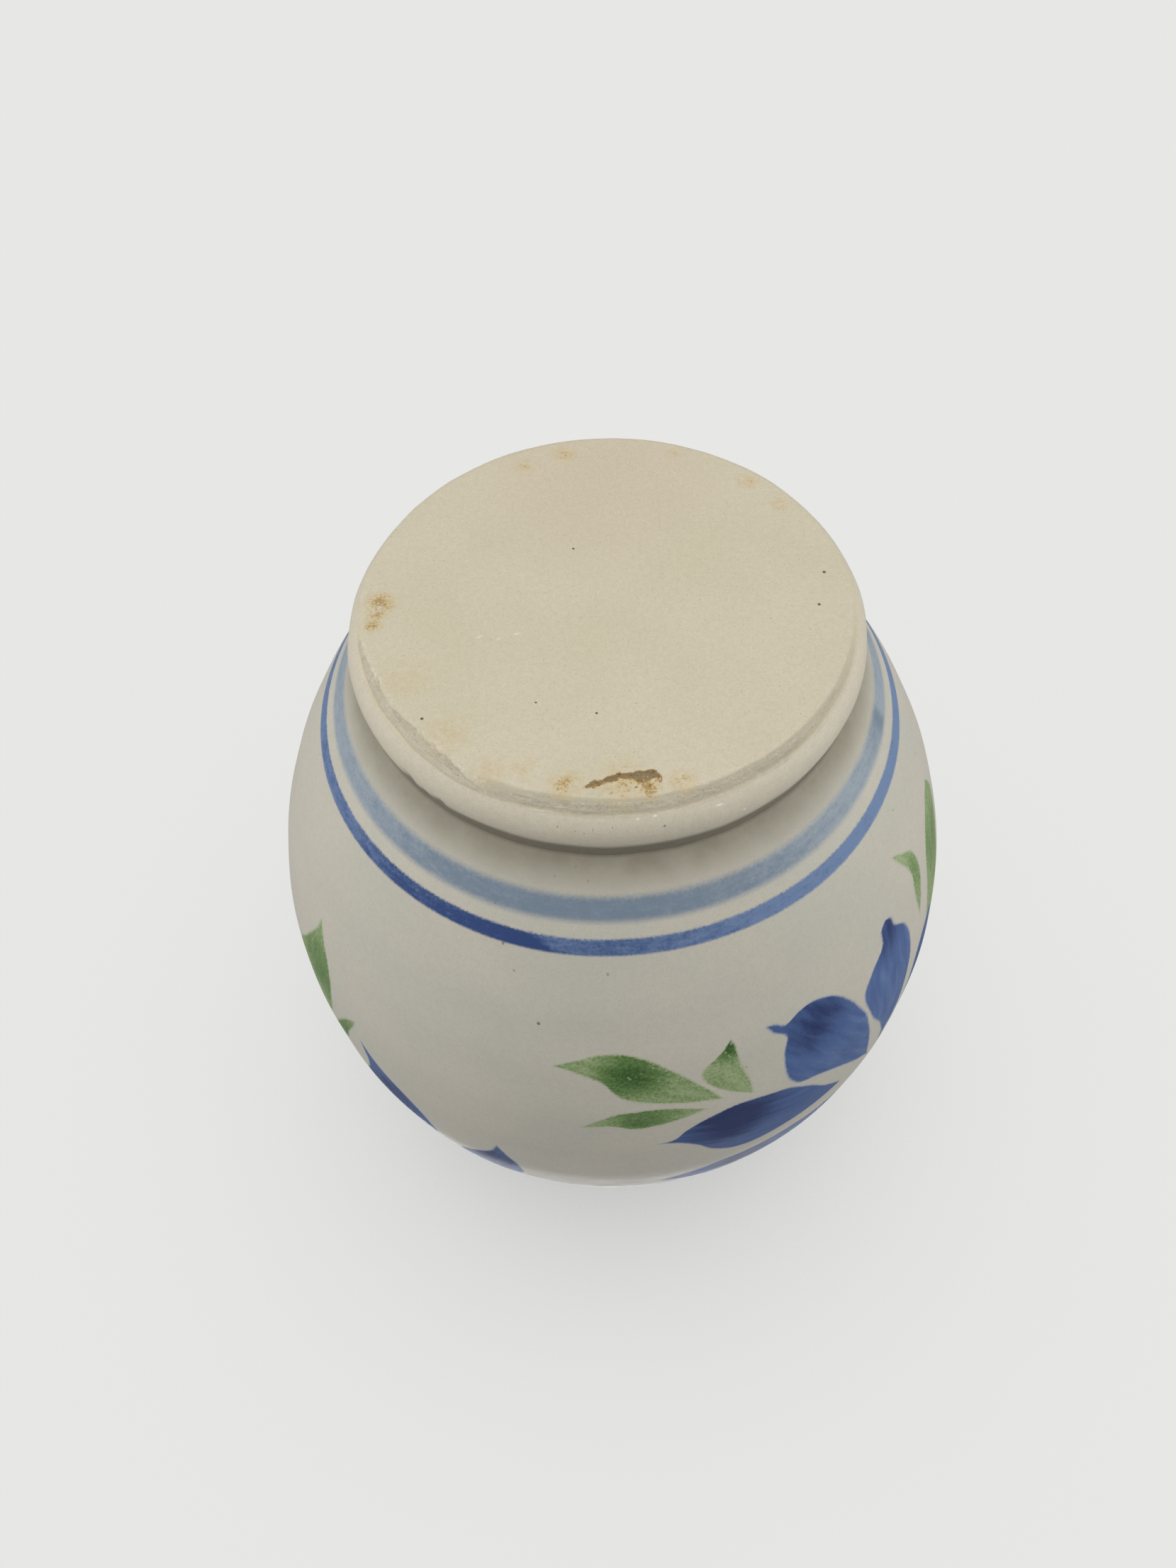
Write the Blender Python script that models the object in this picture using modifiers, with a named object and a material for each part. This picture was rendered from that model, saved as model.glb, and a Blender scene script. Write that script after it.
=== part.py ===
"""A round pottery vase on a beaded foot: one turned clay pot, a glaze coat inside and one outside,
and bands of colour laid into the outer coat.

Metres, +Z up. The origin is the centre of the flat bare underside, and the mouth opens along +Z.
"""

from math import acos, cos, pi, radians, sin

import bpy
from mathutils import Vector
from mathutils.geometry import interpolate_bezier

# Overall form
OVERALL_HEIGHT = 0.146
BELLY_RADIUS = 0.0608
BELLY_HEIGHT = 0.0684
LOWER_FULLNESS = 1.775
SHOULDER_FULLNESS = 2.4

# Foot: a beaded disc that stands proud of the body, with a bare ledge round its flat underside
FOOT_RADIUS = 0.039
FOOT_HEIGHT = 0.0105
FOOT_OVERHANG = 0.0011
FOOT_UPPER_ROUND = 0.003
FOOT_LOWER_ROUND = 0.0028
LEDGE_RISE = 0.0006
UNDERSIDE_RADIUS = 0.0348

# Neck and mouth
NECK_LENGTH = 0.0175
NECK_RADIUS = 0.029
NECK_SPREAD = 0.0065
LIP_RISE = 0.0105
LIP_OUTWARD = 0.0034
LIP_LAP = 0.0012

# Wall, floor and coats
WALL = 0.006
FLOOR = 0.0095
FLOOR_CORNER = 0.02
OUTER_COAT = 0.001
LINER_COAT = 0.0008
SEAT_GAP = 0.0003
BARE_EDGE_ANGLE = radians(60)

# Painted bands: a pale one next to the foot and one next to the neck, each with a deep one beside it
BAND_DEPTH = 0.00035
FOOT_PALE_RISE = 0.0047
FOOT_PALE_WIDTH = 0.0032
FOOT_BAND_SPACING = 0.0023
FOOT_DEEP_WIDTH = 0.0022
NECK_PALE_DROP = 0.0022
NECK_PALE_WIDTH = 0.0026
NECK_BAND_SPACING = 0.0016
NECK_DEEP_WIDTH = 0.0014

# How finely the curves are divided
TURN_STEPS = 32
BODY_STEPS = 8
SHOULDER_STEPS = 7
NECK_STEPS = 4
LIP_STEPS = 4
ROUND_STEPS = 2
CORNER_STEPS = 4
BAND_STEPS = 2
MERGE_DISTANCE = 0.00001

# How far a blend's handles reach, as a share of the distance it spans
BLEND_REACH = 0.4

# Values that follow from those above
crease_radius = FOOT_RADIUS - FOOT_OVERHANG
neck_base = OVERALL_HEIGHT - NECK_LENGTH
neck_base_radius = NECK_RADIUS + NECK_SPREAD
throat_height = OVERALL_HEIGHT - LIP_RISE
lip_round = WALL / 2
lip_radius = NECK_RADIUS + LIP_OUTWARD
clay_inset = OUTER_COAT + SEAT_GAP
liner_seat = LINER_COAT + SEAT_GAP

lip_centre = Vector((lip_radius - lip_round, OVERALL_HEIGHT - lip_round))
bead_centre = Vector((FOOT_RADIUS - FOOT_LOWER_ROUND, LEDGE_RISE + FOOT_LOWER_ROUND))

# Each band as its lowest and highest point on the wall
foot_pale_low = FOOT_HEIGHT + FOOT_PALE_RISE
foot_deep_low = foot_pale_low + FOOT_PALE_WIDTH + FOOT_BAND_SPACING
neck_pale_high = neck_base - NECK_PALE_DROP
neck_deep_high = neck_pale_high - NECK_PALE_WIDTH - NECK_BAND_SPACING
foot_pale = (foot_pale_low, foot_pale_low + FOOT_PALE_WIDTH)
foot_deep = (foot_deep_low, foot_deep_low + FOOT_DEEP_WIDTH)
neck_pale = (neck_pale_high - NECK_PALE_WIDTH, neck_pale_high)
neck_deep = (neck_deep_high - NECK_DEEP_WIDTH, neck_deep_high)

# Ways into the wall at the ends of the coats: level, straight down, and towards the middle of the foot's bead
level = Vector((1, 0))
down = Vector((0, -1))
into_bead = Vector((-cos(BARE_EDGE_ANGLE), sin(BARE_EDGE_ANGLE)))


def curve_span(radius, height, fullness):
    """Height of a belly curve's pole from the belly, so that the curve passes through one given point."""
    share = (radius / BELLY_RADIUS) ** fullness
    return abs(height - BELLY_HEIGHT) / (1 - share) ** (1 / fullness)


lower_span = curve_span(crease_radius, FOOT_HEIGHT, LOWER_FULLNESS)
shoulder_span = curve_span(neck_base_radius, neck_base, SHOULDER_FULLNESS)


def body_radius(height):
    """Outer radius of the body, a full curve that swells to the belly and draws in to foot and neck."""
    span, fullness = lower_span, LOWER_FULLNESS
    if height > BELLY_HEIGHT:
        span, fullness = shoulder_span, SHOULDER_FULLNESS
    share = abs(height - BELLY_HEIGHT) / span
    return BELLY_RADIUS * (1 - share ** fullness) ** (1 / fullness)


def on_body(heights):
    """The points of the outside at some heights."""
    return [Vector((body_radius(height), height)) for height in heights]


def body_run(start, end, steps):
    """Points down the outside of the body between two heights, in equal steps."""
    return on_body([start + (end - start) * step / steps for step in range(steps + 1)])


def arc(centre, radius, start, end, steps):
    """Points on an arc, angles measured from +X towards +Z."""
    points = []
    for step in range(steps + 1):
        angle = start + (end - start) * step / steps
        points.append(centre + radius * Vector((cos(angle), sin(angle))))
    return points


def blend(start, start_way, end, end_way, steps):
    """A smooth curve between two points that leaves and arrives along the two ways given."""
    reach = (end - start).length * BLEND_REACH
    points = interpolate_bezier(start, start + start_way * reach, end - end_way * reach, end, steps + 1)
    return [Vector(point[:2]) for point in points]


def inset(line, depth, first_way=None, last_way=None):
    """A line moved by a depth into the wall on its right. Its ends may be given their own ways in."""
    ways = []
    for point, following in zip(line, line[1:]):
        run = (following - point).normalized()
        ways.append(Vector((run.y, -run.x)))
    before = [first_way or ways[0]] + ways
    after = ways + [last_way or ways[-1]]
    if first_way:
        after[0] = first_way
    if last_way:
        before[-1] = last_way
    return [
        point + (one + other) * depth / (1 + one.dot(other))
        for point, one, other in zip(line, before, after)
    ]


def joined(*runs):
    """Runs of points set end to end, with a point that two runs share kept once."""
    points = []
    for run in runs:
        for point in run:
            if not points or (point - points[-1]).length > MERGE_DISTANCE:
                points.append(point)
    return points


def lip_line():
    """Over the rounded lip, from a short lap down its inner side to its outer side."""
    lap_end = lip_centre - Vector((lip_round, LIP_LAP))
    return joined([lap_end], arc(lip_centre, lip_round, pi, 0, LIP_STEPS))


def neck_line(lip_end, throat, shoulder):
    """Down the neck: in from the lip to the throat, then out along the start of a shoulder line."""
    shoulder_way = (shoulder[1] - shoulder[0]).normalized()
    return joined(
        blend(lip_end, down, throat, down, NECK_STEPS),
        blend(throat, down, shoulder[0], shoulder_way, NECK_STEPS),
        shoulder,
    )


def shoulder_heights():
    """Heights down the shoulder, closer together where it turns in to the neck."""
    rise = neck_base - BELLY_HEIGHT
    return [BELLY_HEIGHT + rise * cos(pi / 2 * step / SHOULDER_STEPS) for step in range(SHOULDER_STEPS + 1)]


def lower_heights(last):
    """Heights down the body from just under the belly."""
    return [BELLY_HEIGHT + (last - BELLY_HEIGHT) * step / BODY_STEPS for step in range(1, BODY_STEPS + 1)]


def wall_line(bands):
    """Down the outside of the body from the neck to the foot's crease, let in where bands lie."""
    heights = shoulder_heights() + lower_heights(FOOT_HEIGHT)
    line = []
    for low, high in sorted(bands, reverse=True):
        groove_high, groove_low = high + SEAT_GAP, low - SEAT_GAP
        line += on_body([height for height in heights if height > groove_high] + [groove_high])
        line += inset(body_run(groove_high, groove_low, BAND_STEPS), BAND_DEPTH + SEAT_GAP)
        heights = [groove_low] + [height for height in heights if height < groove_low]
    return line + on_body(heights)


def foot_line():
    """Round the foot's bead, from the crease down its side and under it as far as the bare edge."""
    upper_turn = acos(1 - FOOT_OVERHANG / FOOT_UPPER_ROUND)
    upper_centre = Vector((FOOT_RADIUS - FOOT_UPPER_ROUND, FOOT_HEIGHT - FOOT_UPPER_ROUND * sin(upper_turn)))
    return joined(
        arc(upper_centre, FOOT_UPPER_ROUND, upper_turn, 0, ROUND_STEPS),
        arc(bead_centre, FOOT_LOWER_ROUND, 0, -BARE_EDGE_ANGLE, ROUND_STEPS),
    )


def outside_line(bands=()):
    """The glazed outside, from the inner side of the lip to the bare edge under the foot's bead."""
    lip_end = lip_centre + Vector((lip_round, 0))
    throat = Vector((NECK_RADIUS, throat_height))
    return joined(lip_line(), neck_line(lip_end, throat, wall_line(bands)), foot_line())


def inside_line():
    """The glazed inside, from the middle of the floor up the wall to the end of the lip's lap."""
    heights = shoulder_heights() + lower_heights(FLOOR + FLOOR_CORNER)
    wall = inset(on_body(heights), WALL)
    lip_end = lip_centre - Vector((lip_round, LIP_LAP + SEAT_GAP))
    throat = Vector((NECK_RADIUS - WALL, throat_height))
    wall_way = (wall[-1] - wall[-2]).normalized()
    corner_end = Vector((wall[-1].x - FLOOR_CORNER, FLOOR))
    corner = blend(wall[-1], wall_way, corner_end, -level, CORNER_STEPS)
    line = joined(neck_line(lip_end, throat, wall), corner, [Vector((0, FLOOR))])
    return line[::-1]


def bare_foot_line():
    """The bare clay: from beside the coat's edge, over the ledge, to the middle of the underside."""
    seat_radius = FOOT_LOWER_ROUND - clay_inset
    bare_start = BARE_EDGE_ANGLE + SEAT_GAP / seat_radius
    return joined(
        arc(bead_centre, seat_radius, -bare_start, -bare_start, 1),
        arc(bead_centre, FOOT_LOWER_ROUND, -bare_start, -pi / 2, 1),
        [Vector((UNDERSIDE_RADIUS + LEDGE_RISE, LEDGE_RISE)), Vector((UNDERSIDE_RADIUS, 0)), Vector((0, 0))],
    )


def glaze_colour(red, green, blue):
    """A colour from its 0 to 255 display values, as the linear values a shader takes."""
    linear = []
    for value in (red, green, blue):
        share = value / 255
        linear.append(share / 12.92 if share <= 0.04045 else ((share + 0.055) / 1.055) ** 2.4)
    return (*linear, 1.0)


def ceramic(name, colour, roughness):
    """A fired surface: its colour and how glossy it is."""
    material = bpy.data.materials.new(name)
    material.use_nodes = True
    shader = material.node_tree.nodes["Principled BSDF"]
    shader.inputs["Base Color"].default_value = colour
    shader.inputs["Roughness"].default_value = roughness
    shader.inputs["Metallic"].default_value = 0.0
    return material


def turned(name, outline, material, collection, is_ring):
    """A piece turned about the vase's axis from its outline. A ring's outline closes on itself."""
    edges = [(index, index + 1) for index in range(len(outline) - 1)]
    if is_ring:
        edges.append((len(outline) - 1, 0))
    mesh = bpy.data.meshes.new(name)
    mesh.from_pydata([(point.x, 0, point.y) for point in outline], edges, [])
    mesh.materials.append(material)
    piece = bpy.data.objects.new(name, mesh)
    collection.objects.link(piece)
    screw = piece.modifiers.new("Turned on the wheel", "SCREW")
    screw.axis = "Z"
    screw.angle = 2 * pi
    screw.steps = TURN_STEPS
    screw.render_steps = TURN_STEPS
    screw.use_merge_vertices = True
    screw.merge_threshold = MERGE_DISTANCE
    screw.use_smooth_shade = True
    return piece


for old in list(bpy.data.objects):
    bpy.data.objects.remove(old)

vase = bpy.data.collections.new("pottery_vase")
bpy.context.scene.collection.children.link(vase)

bare_clay = ceramic("bare_clay", glaze_colour(205, 198, 172), 0.85)
cream_glaze = ceramic("cream_glaze", glaze_colour(214, 210, 198), 0.3)
liner_finish = ceramic("liner_finish", glaze_colour(208, 203, 189), 0.3)
pale_blue = ceramic("pale_blue", glaze_colour(142, 160, 186), 0.32)
deep_blue = ceramic("deep_blue", glaze_colour(74, 100, 158), 0.32)

band_sites = {
    "foot_pale_band": (foot_pale, pale_blue),
    "foot_deep_band": (foot_deep, deep_blue),
    "neck_deep_band": (neck_deep, deep_blue),
    "neck_pale_band": (neck_pale, pale_blue),
}
outside = outside_line()
grooved_outside = outside_line([site for site, colour in band_sites.values()])
inside = inside_line()

clay_inside = inset(inside, liner_seat, down, level)
clay_outside = inset(outside, clay_inset, level, into_bead)
turned("clay_body", clay_inside + clay_outside + bare_foot_line(), bare_clay, vase, False)

liner_back = inset(inside, LINER_COAT, down, level)
turned("liner_glaze", inside + liner_back[::-1], liner_finish, vase, False)

outer_back = inset(outside, OUTER_COAT, level, into_bead)
turned("outer_glaze", grooved_outside + outer_back[::-1], cream_glaze, vase, True)

for band_name, (site, colour) in band_sites.items():
    band_face = body_run(site[1], site[0], BAND_STEPS)
    band_back = inset(band_face, BAND_DEPTH)
    turned(band_name, band_face + band_back[::-1], colour, vase, True)
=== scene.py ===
import math

import bmesh
import bpy
from mathutils import Matrix, Vector, noise


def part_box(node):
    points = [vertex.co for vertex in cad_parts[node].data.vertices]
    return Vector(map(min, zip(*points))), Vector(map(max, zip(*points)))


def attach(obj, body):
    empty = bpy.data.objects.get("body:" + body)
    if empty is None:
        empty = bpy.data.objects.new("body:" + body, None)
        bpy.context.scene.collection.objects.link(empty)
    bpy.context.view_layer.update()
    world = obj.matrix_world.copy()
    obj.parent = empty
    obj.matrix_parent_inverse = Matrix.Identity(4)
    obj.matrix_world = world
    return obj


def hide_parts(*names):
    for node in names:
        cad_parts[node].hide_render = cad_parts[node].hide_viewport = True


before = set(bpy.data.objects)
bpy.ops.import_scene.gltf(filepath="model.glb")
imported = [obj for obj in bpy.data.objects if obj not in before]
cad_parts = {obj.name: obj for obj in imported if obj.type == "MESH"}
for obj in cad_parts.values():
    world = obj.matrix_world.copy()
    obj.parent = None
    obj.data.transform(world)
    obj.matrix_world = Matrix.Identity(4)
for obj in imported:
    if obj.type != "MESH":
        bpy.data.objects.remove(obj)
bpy.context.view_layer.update()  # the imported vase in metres, upright, with its flat underside at z = 0
mm = 0.001
tiny = 1e-6  # metres, less than any detail


# Shader maths

class Brush:  # wraps one socket, so that shader sums read as sums
    def __init__(self, tree, socket=None):
        self.tree = tree
        self.socket = socket

    def node(self, kind, settings, sockets, output=0):
        made = self.tree.nodes.new("ShaderNode" + kind)
        for name, value in settings.items():
            if name == "points":
                drawCurve(made.mapping, value)
            else:
                setattr(made, name, value)
        for name, value in sockets.items():
            if isinstance(value, Brush):
                self.tree.links.new(value.socket, made.inputs[name])
            else:
                made.inputs[name].default_value = value
        return Brush(self.tree, made.outputs[output])

    def maths(self, operation, *values):
        return self.node("Math", {"operation": operation}, dict(enumerate(values)))

    def __add__(self, other):
        return self.maths("ADD", self, other)

    def __radd__(self, other):
        return self.maths("ADD", other, self)

    def __sub__(self, other):
        return self.maths("SUBTRACT", self, other)

    def __rsub__(self, other):
        return self.maths("SUBTRACT", other, self)

    def __mul__(self, other):
        return self.maths("MULTIPLY", self, other)

    def __rmul__(self, other):
        return self.maths("MULTIPLY", other, self)

    def __truediv__(self, other):
        return self.maths("DIVIDE", self, other)

    def most(self, other):
        return self.maths("MAXIMUM", self, other)

    def least(self, other):
        return self.maths("MINIMUM", self, other)

    def rise(self, start, end):  # 0 at the start, 1 at the end, smooth between, either way round
        return self.node("MapRange", {"interpolation_type": "SMOOTHSTEP"}, {0: self, 1: start, 2: end})

    def mix(self, first, second):  # the first colour where self is 0, the second where it is 1
        return self.node("Mix", {"data_type": "RGBA"}, {0: self, 6: first, 7: second}, 2)

    def part(self, axis):
        return self.node("SeparateXYZ", {}, {0: self}, axis)

    def vector(self, operation, other, output=0):
        return self.node("VectorMath", {"operation": operation}, {0: self, 1: other}, output)

    def curve(self, points):
        return self.node("FloatCurve", {"points": points}, {"Value": self})

    def grain(self, scale, detail=2.0, rough=0.5):
        sockets = {"Vector": self, "Scale": scale, "Detail": detail, "Roughness": rough}
        return self.node("TexNoise", {}, sockets)

    def dots(self, scale, size, share):  # specks in a share of the cells, each size of a cell across
        cell = self.node("TexVoronoi", {}, {"Vector": self, "Scale": scale})
        chance = Brush(self.tree, cell.socket.node.outputs["Color"]).part(0)
        return cell.rise(size, size * 0.5) * chance.rise(1 - share, 1 - share * 0.8)

    def near(self, place, reach):  # 1 at a place, 0 a reach away from it
        return self.vector("DISTANCE", place, 1).rise(reach, 0)

    def laidOut(self, place, turn=0, size=(1, 1)):  # the sheet moved, turned and scaled to one mark on it
        sockets = {"Vector": self, "Location": (*place, 0), "Rotation": (0, 0, turn), "Scale": (*size, 1)}
        return self.node("Mapping", {"vector_type": "TEXTURE"}, sockets)


def drawCurve(mapping, points):  # a smooth curve through points, level past both ends
    mapping.clip_max_x = max(x for x, _ in points)
    mapping.clip_min_x = min(x for x, _ in points)
    mapping.clip_max_y = max(y for _, y in points)
    mapping.clip_min_y = min(y for _, y in points)
    mapping.extend = "HORIZONTAL"
    line = mapping.curves[0].points
    line[0].location = points[0]
    line[1].location = points[-1]
    for x, y in points[1:-1]:
        line.new(x, y)
    for point in line:
        point.handle_type = "AUTO_CLAMPED"
    mapping.update()


def srgb(red, green, blue):  # a colour by its display values, 0 to 255
    shares = [value / 255 for value in (red, green, blue)]
    return (*[s / 12.92 if s <= 0.04045 else ((s + 0.055) / 1.055) ** 2.4 for s in shares], 1.0)


def tints(piece):  # a piece's named colours, as a shader takes them
    return {name: srgb(*values) for name, values in piece["colours"].items()}


def newMaterial(name, roughness, gloss):
    material = bpy.data.materials.new(name)
    material.use_nodes = True
    shader = material.node_tree.nodes["Principled BSDF"]
    shader.inputs["Roughness"].default_value = roughness
    shader.inputs["Specular IOR Level"].default_value = gloss
    point = Brush(material.node_tree).node("TexCoord", {}, {}, 3).vector("MULTIPLY", (1 / mm,) * 3)
    return material, shader, point


def connect(shader, name, value):
    shader.id_data.links.new(value.socket, shader.inputs[name])


def bumpOf(height, depth):  # a bump that is depth mm deep between heights 0 and 1
    return height.node("Bump", {}, {"Distance": depth * mm, "Height": height})


def mottled(point, colour, layers):  # scale, detail, roughness, start, end, strength, colour
    for scale, detail, rough, start, end, strength, tint in layers:
        colour = (point.grain(scale, detail, rough).rise(start, end) * strength).mix(colour, srgb(*tint))
    return colour


def dotted(point, colour, layers):  # cells to the mm, size, share of cells, strength, colour
    for scale, size, share, strength, tint in layers:
        colour = (point.dots(scale, size, share) * strength).mix(colour, srgb(*tint))
    return colour


def ripple(point):  # the fine unevenness of a fired coat
    return bumpOf(point.grain(0.45, 3.0), 0.06)


# The vase's outline

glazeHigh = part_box("outer_glaze")[1]
form = {
    "bellyRadius": glazeHigh.x,
    "bellyHeight": 0.0684,
    "lowerFullness": 1.775,
    "shoulderFullness": 2.4,
    "crease": (0.0379, 0.0105),  # where the foot's bead meets the body: radius, height
    "neckBase": (0.0355, 0.1285),
    "throat": (0.029, 0.1355),
    "lipRadius": 0.0324,
    "lipRound": 0.003,
    "lipLap": 0.0012,
    "height": glazeHigh.z,
    "wall": 0.006,
    "floor": 0.0095,
    "floorCorner": 0.02,
    "bead": (0.0341, 0.0054, 0.0049),  # the foot's round side: radius and height of its middle, its size
    "beadTurn": 13,  # degrees above level where the round side meets the undercut
    "bareAngle": -46,  # degrees from level where the glaze ends under the foot
    "pull": 0.4,  # share of a sweep over which its ends hold their direction
    "undercutRows": 4,
    "floorRows": 8,
    "coat": 0.0007,
    "seat": 1.05,  # the clay lies this much deeper than a coat's own depth
    "feather": 0.0012,  # length of a coat's thinning edge
    "creased": 38,  # degrees between faces from which an edge shows as a crease
}


def smoothstep(value, start, end):
    share = min(max((value - start) / (end - start), 0), 1)
    return share * share * (3 - 2 * share)


def through(stations, value):  # smooth way between stations of place and value
    for (place, one), (following, other) in zip(stations, stations[1:]):
        if value <= following:
            return one + (other - one) * smoothstep(value, place, following)
    return stations[-1][1]


def arc(centre, radius, start, end, steps):
    angles = [math.radians(start + (end - start) * step / steps) for step in range(steps + 1)]
    return [Vector((centre[0] + radius * math.cos(a), centre[1] + radius * math.sin(a))) for a in angles]


def sweep(start, startWay, end, endWay, steps):
    reach = (end - start).length * form["pull"]
    first, second = start + startWay * reach, end - endWay * reach
    line = []
    for t in [step / steps for step in range(steps + 1)]:
        point = start * (1 - t) ** 3 + first * (3 * t * (1 - t) ** 2)
        line.append(point + second * (3 * t * t * (1 - t)) + end * t ** 3)
    return line


def straight(start, end, steps):
    return [start.lerp(end, step / steps) for step in range(steps + 1)]


def joined(*runs):
    line = []
    for run in runs:
        line += [point for point in run if not line or (point - line[-1]).length > tiny]
    return line


def inset(line, depths):  # the line moved to its right by a depth for each point
    moved = []
    for index, point in enumerate(line):
        run = (line[min(index + 1, len(line) - 1)] - line[max(index - 1, 0)]).normalized()
        moved.append(point + Vector((run.y, -run.x)) * depths[index])
    return moved


def feathered(line, thinStart, thinEnd):  # depth of a coat along a line, thin towards the ends asked for
    lengths = [0]
    for one, other in zip(line, line[1:]):
        lengths.append(lengths[-1] + (other - one).length)
    depths = []
    for length in lengths:
        fromStart = length if thinStart else form["feather"]
        fromEnd = lengths[-1] - length if thinEnd else form["feather"]
        depths.append(form["coat"] * smoothstep(min(fromStart, fromEnd), 0, form["feather"]))
    return depths


def bodyRadius(height):
    radius, belly = form["bellyRadius"], form["bellyHeight"]
    point, fullness = form["crease"], form["lowerFullness"]
    if height > belly:
        point, fullness = form["neckBase"], form["shoulderFullness"]
    span = abs(point[1] - belly) / (1 - (point[0] / radius) ** fullness) ** (1 / fullness)
    return radius * (1 - (abs(height - belly) / span) ** fullness) ** (1 / fullness)


def bodyRun(start, end, steps):
    heights = [start + (end - start) * step / steps for step in range(steps + 1)]
    return [Vector((bodyRadius(height), height)) for height in heights]


down = Vector((0, -1))
lipCentre = Vector((form["lipRadius"] - form["lipRound"], form["height"] - form["lipRound"]))


def neckRun(lipEnd, throat, below, steps):
    way = (below[1] - below[0]).normalized()
    upper = sweep(lipEnd, down, throat, down, steps)
    return joined(upper, sweep(throat, down, below[0], way, steps), below)


def beadRun(steps):  # down the foot, from the crease to the glaze's edge under it
    x, z, size = form["bead"]
    side = arc((x, z), size, form["beadTurn"], form["bareAngle"], steps)
    return joined(straight(Vector(form["crease"]), side[0], form["undercutRows"]), side)


# the outside, from in the mouth to the foot
def glazeFace(bodyRows, shoulderRows, neckRows, lipRows, beadRows):
    lip = arc(lipCentre, form["lipRound"], 180, 0, lipRows)
    shoulder = bodyRun(form["neckBase"][1], form["bellyHeight"], shoulderRows)
    body = bodyRun(form["bellyHeight"], form["crease"][1], bodyRows)
    neck = neckRun(lip[-1], Vector(form["throat"]), joined(shoulder, body), neckRows)
    return joined([lip[0] + down * form["lipLap"]], lip, neck, beadRun(beadRows))


def linerFace(rows):  # the inside, from under the lip to the middle of the floor
    start = lipCentre + Vector((-form["lipRound"], -form["lipLap"]))
    throat = Vector((form["throat"][0] - form["wall"], form["throat"][1]))
    outside = bodyRun(form["neckBase"][1], form["floor"] + form["floorCorner"], rows)
    wall = inset(outside, [form["wall"]] * len(outside))
    way = (wall[-1] - wall[-2]).normalized()
    floorEdge = Vector((wall[-1].x - form["floorCorner"], form["floor"]))
    corner = sweep(wall[-1], way, floorEdge, Vector((-1, 0)), rows // 3)
    level = straight(floorEdge, Vector((0, form["floor"])), form["floorRows"])
    return joined(neckRun(start, throat, wall, rows // 4), corner, level)


# Turned meshes

wedges = 16  # a full turn is spun as one wedge and copied round, which is quicker


def turned(line, turns, isRing):  # a piece spun about the vase's axis from half its outline
    shape = bmesh.new()
    verts = [shape.verts.new((point.x, 0, point.y)) for point in line]
    edges = [shape.edges.new(pair) for pair in zip(verts, verts[1:])]
    if isRing:
        edges.append(shape.edges.new((verts[-1], verts[0])))
    about = {"cent": (0, 0, 0), "axis": (0, 0, 1)}
    wedge = 2 * math.pi / wedges
    bmesh.ops.spin(shape, geom=verts + edges, angle=wedge, steps=turns // wedges, **about)
    whole = shape.verts[:] + shape.edges[:] + shape.faces[:]
    about.update(angle=2 * math.pi - wedge, steps=wedges - 1, use_duplicate=True)
    bmesh.ops.spin(shape, geom=whole, **about)
    bmesh.ops.remove_doubles(shape, verts=shape.verts, dist=tiny)
    bmesh.ops.recalc_face_normals(shape, faces=shape.faces)
    return shape


def finished(name, shape, material, nodes):
    for face in shape.faces:
        face.smooth = True
    for edge in shape.edges:
        edge.smooth = edge.calc_face_angle(0) < math.radians(form["creased"])
    mesh = bpy.data.meshes.new(name)
    shape.to_mesh(mesh)
    shape.free()
    mesh.materials.append(material)
    piece = bpy.data.objects.new(name, mesh)
    bpy.context.scene.collection.objects.link(piece)
    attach(piece, "root")
    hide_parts(*nodes)
    print("made", name, len(mesh.polygons), "faces")


def turnOf(co):  # degrees round the vase from the front, growing towards -X
    return math.degrees(math.atan2(-co.x, -co.y))


def outward(co):  # level direction from the vase's axis to a point
    return Vector((co.x, co.y, 0)).normalized()


handMarks = {
    "wobble": 0.00016,  # how far the thrown wall is off the true round
    "wobbleScale": (22, 22, 30),
    "throwing": 0.00005,  # depth of the finger rings on the body
    "ringPitch": 0.0131,
    "ringDrift": 3,  # radians that the rings stray
    "driftScale": 25,
    "beadLumps": 0.00011,
    "lumpScale": 170,
    "nickSharpness": 2.5,
    "nickReach": 2,  # widths from its middle where a knock ends
    "nicks": [  # knocks on the foot: degrees round, mm up, mm wide, mm deep
        (-46.5, 6.6, 1.5, 0.75),
        (-37.5, 6.9, 1.1, 0.65),
        (-42, 7, 0.8, 0.3),
        (33, 1.5, 0.9, 0.22),
        (47, 2.6, 0.8, 0.18),
        (152, 7.5, 1.3, 0.3),
    ],
}


def offRound(co):  # how far a point of the outside lies off the true round
    scaled = Vector([value * scale for value, scale in zip(co, handMarks["wobbleScale"])])
    off = handMarks["wobble"] * noise.noise(scaled)
    if co.z > form["crease"][1]:
        drift = handMarks["ringDrift"] * noise.noise(co * handMarks["driftScale"])
        spiral = 2 * math.pi * co.z / handMarks["ringPitch"] + math.atan2(-co.x, -co.y) + drift
        return off + handMarks["throwing"] * math.sin(spiral)
    off += handMarks["beadLumps"] * noise.noise(co * handMarks["lumpScale"])
    for place, height, width, depth in handMarks["nicks"]:
        along = math.radians(turnOf(co) - place) * form["crease"][0] / mm
        away = math.hypot(along, co.z / mm - height) / width
        if away < handMarks["nickReach"]:
            off -= depth * mm * math.exp(-handMarks["nickSharpness"] * away * away)
    return off


# Glaze: one coat over lip, neck, body and foot

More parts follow.
